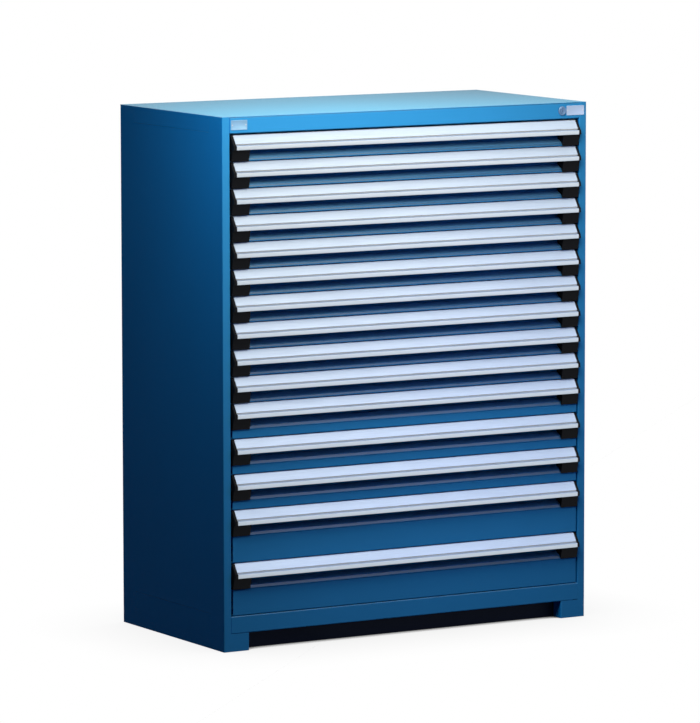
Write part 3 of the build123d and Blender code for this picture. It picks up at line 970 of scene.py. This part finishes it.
@dataclass
class Lock:
    """The lock's body in the header: a domed rim, a barrel and a nut behind the sheet.

    A rim step is measured out from the bore, and back from the rim's face.
    """

    rim_radius: float = 0.0135
    rim_height: float = 0.003
    rim_steps: Corners = ((0.0, 0.0005), (0.0008, 0.0), (0.0022, 0.0), (0.0026, 0.0004), (0.003, 0.0))
    corner_rounds_mm: tuple[float, ...] = (0.15, 0.3, 0.1, 0.1, 0.1, 2.2, 0.2, 0.1, 0.4, 0.2)
    bore_radius: float = 0.00655
    barrel_radius: float = 0.0095
    barrel_length: float = 0.023
    nut_radius: float = 0.0135
    nut_front: float = 0.0015
    nut_thickness: float = 0.004
    nut_sides: int = 6
    nut_steps: int = 8
    nut_clearance: float = 0.0001
    nut_bevel: float = 0.0003

    def body_profile(self, front: float) -> np.ndarray:
        """The closed profile of rim and barrel.

        Args:
            front: the y of the header's face.

        Returns:
            Radius and y of each point, n by 2.
        """
        face, end = front - self.rim_height, front + self.barrel_length
        corners = [
            *((self.bore_radius + out, face + back) for out, back in self.rim_steps),
            (self.rim_radius, face),
            (self.rim_radius, front),
            (self.barrel_radius, front),
            (self.barrel_radius, end),
            (self.bore_radius, end),
        ]
        return rounded_corners(np.array(corners), np.array(self.corner_rounds_mm) * MM)

    def build(self, palette: Palette) -> list[Object]:
        """Makes the lock's body and its nut.

        Args:
            palette: the finishes.

        Returns:
            The two pieces.
        """
        low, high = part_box("lock_housing")
        centre = (low + high) / 2
        front = low.y + self.rim_height
        rim = closed_ring(ring_surface(self.body_profile(front), centre))
        body = dress("lock_rim", rim, palette.nickel)
        turns = np.arange(self.nut_sides)[:, None] * 2 * math.pi / self.nut_sides
        outer = np.concatenate([np.cos(turns), np.sin(turns)], axis=1) * self.nut_radius
        finer = np.linspace(0, 1, self.nut_steps, endpoint=False)[None, :, None]
        outer = (outer[:, None] * (1 - finer) + np.roll(outer, -1, axis=0)[:, None] * finer).reshape(-1, 2)
        angle = np.arctan2(outer[:, 1], outer[:, 0])
        round_hole = np.stack([np.cos(angle), np.sin(angle)], axis=1)
        round_hole *= self.barrel_radius + self.nut_clearance
        starts = (front + self.nut_front, front + self.nut_front + self.nut_thickness)
        loops = [(outer, starts[0]), (outer, starts[1]), (round_hole, starts[1]), (round_hole, starts[0])]
        levels = [
            np.stack([centre.x + loop[:, 0], np.full(len(loop), y), centre.z + loop[:, 1]], axis=1)
            for loop, y in loops
        ]
        nut = dress("lock_nut", closed_ring(np.stack(levels, axis=1)), palette.zinc)
        soften(nut, self.nut_bevel)
        for piece in (body, nut):
            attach(piece, "housing")
            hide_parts("lock_housing")
        return [body, nut]


@dataclass
class NamePlate:
    """A blank plate on the header: a rolled edge, a set-back field and two rivets.

    A step of the roll is measured in from the edge, and as a share of the thickness.
    """

    side: Side
    thickness: float = 0.001
    corner: float = 0.002
    least_corner: float = 0.0004
    roll: Corners = ((0.0, 0.0), (0.0, 0.6), (0.0003, 0.9), (0.0008, 1.0))
    edge: float = 0.0022
    edge_slope: float = 0.0006
    field_depth: float = 0.0003
    rivet_radius: float = 0.0016
    rivet_inset: float = 0.0048
    rivet_hole: float = 0.02
    rivet_steps: int = 8
    rivet_sides: int = 24

    def box(self) -> tuple[Vector, Vector]:
        """The plate's box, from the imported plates' box and the header's middle.

        Returns:
            Its lowest and highest corner.
        """
        low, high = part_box("name_plates")
        mesh = bpy.data.objects["name_plates"].data
        points = np.zeros(len(mesh.vertices) * 3)
        mesh.vertices.foreach_get("co", points)
        x = points[::3]
        half = x[x * self.side.value > 0]
        return Vector((half.min(), low.y, low.z)), Vector((half.max(), high.y, high.z))

    def outline(self, width: float, height: float, inset: float) -> np.ndarray:
        """A rounded rectangle, drawn in from the plate's edge.

        Args:
            width: the plate's width.
            height: the plate's height.
            inset: how far in the outline lies.

        Returns:
            Its points round the plate's middle, n by 2.
        """
        x, z = width / 2 - inset, height / 2 - inset
        corners = np.array([(-x, -z), (x, -z), (x, z), (-x, z)])
        return rounded_corners(corners, np.full(4, max(self.corner - inset, self.least_corner)))

    def build(self, palette: Palette) -> list[Object]:
        """Makes the plate and its rivets.

        Args:
            palette: the finishes.

        Returns:
            The pieces.
        """
        low, high = self.box()
        middle, size = (low + high) / 2, high - low
        steps = (
            *((inset, self.thickness * share) for inset, share in self.roll),
            (self.edge - self.edge_slope, self.thickness),
            (self.edge, self.thickness - self.field_depth),
        )
        rings = []
        for inset, height in steps:
            loop = self.outline(size.x, size.z, inset)
            y = np.full(len(loop), high.y - height)
            rings.append(np.stack([middle.x + loop[:, 0], y, middle.z + loop[:, 1]], axis=1))
        name = f"name_plate_{self.side.name.lower()}"
        metal = palette.silver_plate if self.side is Side.RIGHT else palette.pale_plate
        pieces = [dress(name, loft(np.stack(rings)), metal)]
        for label, sign in (("a", -1), ("b", 1)):
            centre = Vector((middle.x + sign * (size.x / 2 - self.rivet_inset), 0, middle.z))
            pieces.append(self.rivet(f"{name}_rivet_{label}", centre, high.y, palette))
        for piece in pieces:
            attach(piece, "housing")
            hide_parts("name_plates")
        return pieces

    def rivet(self, name: str, centre: Vector, back: float, palette: Palette) -> Object:
        """Makes one rivet: a dome on a short stem.

        The dome's height is the field's depth times the cosine of a quarter turn that
        runs from its middle to its rim.

        Args:
            name: the piece's name.
            centre: the rivet's place in X and Z.
            back: the y of the header's face.
            palette: the finishes.

        Returns:
            The rivet.
        """
        field_face = back - self.thickness + self.field_depth
        share = np.linspace(self.rivet_hole, 1, self.rivet_steps)
        height = self.field_depth * np.cos(share * math.pi / 2)
        dome = np.stack([self.rivet_radius * share, field_face - height], axis=1)
        foot = np.array([(self.rivet_radius, back), (self.rivet_radius * self.rivet_hole, back)])
        grid = ring_surface(np.concatenate([dome, foot]), centre, self.rivet_sides)
        return dress(name, closed_ring(grid), palette.zinc)


@dataclass
class SheetMetal:
    """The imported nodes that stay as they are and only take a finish."""

    painted: tuple[str, ...] = (
        "right_side_panel",
        "left_side_panel",
        "top_panel",
        "header_rail",
        "bottom_rail",
        "back_panel",
        "bottom_panel",
        "base_frame",
    )
    plated: tuple[str, ...] = ("slotted_uprights", "drawer_runners", "lock_bar")

    def finish(self, nodes: dict[str, Object], palette: Palette) -> int:
        """Gives every kept node its finish.

        Args:
            nodes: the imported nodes.
            palette: the finishes.

        Returns:
            How many nodes took one.
        """
        given = dict.fromkeys(self.painted, palette.blue) | dict.fromkeys(self.plated, palette.zinc)
        given |= {"toe_kick_panel": palette.black_paint, "lock_plug": palette.nickel}
        for number in range(1, DRAWERS + 1):
            given[f"drawer_{number:02d}_tray"] = palette.blue
            given[f"drawer_{number:02d}_carriage"] = palette.zinc
        for name, material in given.items():
            nodes[name].material_slots[0].material = material
        return len(given)


# Stage


@dataclass(frozen=True)
class Lamp:
    """A square area lamp. Its spread is the angle in degrees that its light is kept in."""

    name: str
    place: Point
    target: Point
    size: float
    power: float
    spread: float
    colour: Colour = WHITE
    lights_paint: bool = True
    shines_on_metal: bool = True

    def build(self) -> None:
        """Makes the lamp and points it at its target."""
        data = bpy.data.lights.new(self.name, "AREA")
        data.shape, data.size, data.energy = "SQUARE", self.size, self.power
        data.spread, data.color = math.radians(self.spread), self.colour
        lamp = bpy.data.objects.new(self.name, data)
        lamp.location = self.place
        ahead = Vector(self.target) - Vector(self.place)
        lamp.rotation_euler = ahead.to_track_quat("-Z", "Y").to_euler()
        lamp.visible_diffuse, lamp.visible_glossy = self.lights_paint, self.shines_on_metal
        bpy.context.scene.collection.objects.link(lamp)


WARM, AMBER, COOL = (1.0, 0.97, 0.81), (1.0, 0.85, 0.62), (0.8, 0.95, 1.8)
LAMPS = (
    Lamp("key", (-0.34, -0.86, 2.28), (0.29, -0.09, 0.98), 1.54, 29.0, 124.0, WARM, shines_on_metal=False),
    Lamp("soft_key", (0.15, -1.2, 2.4), (0.2, -0.3, 1.4), 1.5, 13.0, 124.0, AMBER, lights_paint=False),
    Lamp("low_key", (0.9, -1.7, 1.5), (-0.1, -0.3, 0.25), 0.9, 0.8, 80.0, COOL),
    Lamp("fill", (3.1, 1.6, 0.9), (0.2, 0.1, 0.8), 1.2, 40.0, 180.0),
)


@dataclass
class Studio:
    """The floor, the light and the camera.

    The key stands above the front and lights the paint, and metal mirrors the softer
    one beside it. The low key lights the low drawers, and the fill the right side.
    """

    camera_place: Point = (-7.69847, -13.05729, 2.58605)
    yaw: float = 0.5315914
    pitch: float = 0.1195285
    roll: float = -0.00106997
    lens: float = 259.25
    sensor: float = 36.0
    clip: tuple[float, float] = (0.1, 1000.0)
    floor_size: float = 400.0
    floor_sink: float = 0.0003
    floor_colour: Colour = (0.018, 0.024, 0.036)
    ambient: Colour = (0.004, 0.009, 0.02)
    contact_shade: float = 0.2
    contact_reach: float = 0.35
    contact_samples: int = 32
    dark_range: tuple[float, float] = (0.12, 0.4)
    dark_tone: Colour = (0.01, 0.01, 0.012)

    def build(self) -> None:
        """Makes all of it, and sets the scene's view transform."""
        bpy.context.scene.view_settings.view_transform = "Standard"
        self.make_floor()
        self.make_world()
        for lamp in LAMPS:
            lamp.build()
        self.make_camera()

    def make_floor(self) -> None:
        """A large pale floor that shows white, shaded beside the cabinet and dark under it."""
        half, signs = self.floor_size / 2, ((-1, -1), (1, -1), (1, 1), (-1, 1))
        mesh = bpy.data.meshes.new("studio_floor")
        mesh.from_pydata([(x * half, y * half, -self.floor_sink) for x, y in signs], [], [[0, 1, 2, 3]])
        material = bpy.data.materials.new("pale_floor")
        bench = NodeBench(empty_tree(material))
        shade = bench.add("ShaderNodeAmbientOcclusion", distance=self.contact_reach)
        shade.samples = self.contact_samples
        clear = shade.outputs["AO"]
        beside = bench.mix(clear, (1 - self.contact_shade,) * 3, WHITE)
        tone = bench.mix(bench.ramp(clear, *self.dark_range), self.dark_tone, beside)
        shown = bench.add("ShaderNodeEmission", color=tone, strength=1.0)
        lit = bench.add("ShaderNodeBsdfDiffuse", color=self.floor_colour)
        top = bench.mix_shaders(bench.seen_directly(), lit, shown)
        below = bench.add("ShaderNodeNewGeometry").outputs["Backfacing"]
        sided = bench.mix_shaders(below, top, bench.add("ShaderNodeBsdfTransparent"))
        bench.add("ShaderNodeOutputMaterial", surface=sided.outputs[0])
        mesh.materials.append(material)
        floor = bpy.data.objects.new("studio_floor", mesh)
        bpy.context.scene.collection.objects.link(floor)

    def make_world(self) -> None:
        """A white surround for the eye and for reflections, and a dim one for light."""
        world = bpy.data.worlds.new("studio")
        bench = NodeBench(empty_tree(world))
        tone = bench.mix(bench.seen_directly(), self.ambient, WHITE)
        background = bench.add("ShaderNodeBackground", color=tone, strength=1.0)
        bench.add("ShaderNodeOutputWorld", surface=background.outputs[0])
        bpy.context.scene.world = world

    def make_camera(self) -> None:
        """The camera at the photograph's place, turned by yaw, pitch and roll."""
        sin_yaw, cos_yaw = math.sin(self.yaw), math.cos(self.yaw)
        sin_pitch, cos_pitch = math.sin(self.pitch), math.cos(self.pitch)
        forward = Vector((sin_yaw * cos_pitch, cos_yaw * cos_pitch, -sin_pitch))
        right = Vector((cos_yaw, -sin_yaw, 0))
        up = right.cross(forward)
        rolled_right = right * math.cos(self.roll) + up * math.sin(self.roll)
        rolled_up = up * math.cos(self.roll) - right * math.sin(self.roll)
        data = bpy.data.cameras.new("photo_camera")
        data.lens = self.lens
        data.sensor_width = self.sensor
        data.clip_start, data.clip_end = self.clip
        camera = bpy.data.objects.new("photo_camera", data)
        turn = Matrix((rolled_right, rolled_up, -forward)).transposed()
        camera.matrix_world = Matrix.Translation(Vector(self.camera_place)) @ turn.to_4x4()
        bpy.context.scene.collection.objects.link(camera)
        bpy.context.scene.camera = camera


@dataclass
class Cabinet:
    """The whole cabinet: every kept node and every finer piece."""

    nodes: dict[str, Object]
    palette: Palette = field(default_factory=Palette)
    pull: PullBar = field(default_factory=PullBar)
    cap: EndCap = field(default_factory=EndCap)

    def build(self) -> None:
        """Finishes the sheet metal and builds the pieces on it."""
        LOG.info("finished %d packed nodes", SheetMetal().finish(self.nodes, self.palette))
        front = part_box("header_rail")[0].y
        for number in range(1, DRAWERS + 1):
            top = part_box(f"drawer_{number:02d}_handle")[1].z
            place = DrawerPlace(number, front, top)
            pull = self.pull.build(place, self.palette)
            caps = [self.cap.build(place, side, self.palette) for side in Side]
            LOG.info("%s: %s", pull.name, ", ".join(cap.name for cap in caps))
        for made in (Lock().build(self.palette), *(NamePlate(side).build(self.palette) for side in Side)):
            LOG.info("header: %s", ", ".join(piece.name for piece in made))


def main() -> None:
    logging.basicConfig(level=logging.INFO, format="%(name)s: %(message)s")
    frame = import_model()
    Studio().build()
    Cabinet(frame["nodes"]).build()


if __name__ == "__main__":
    main()
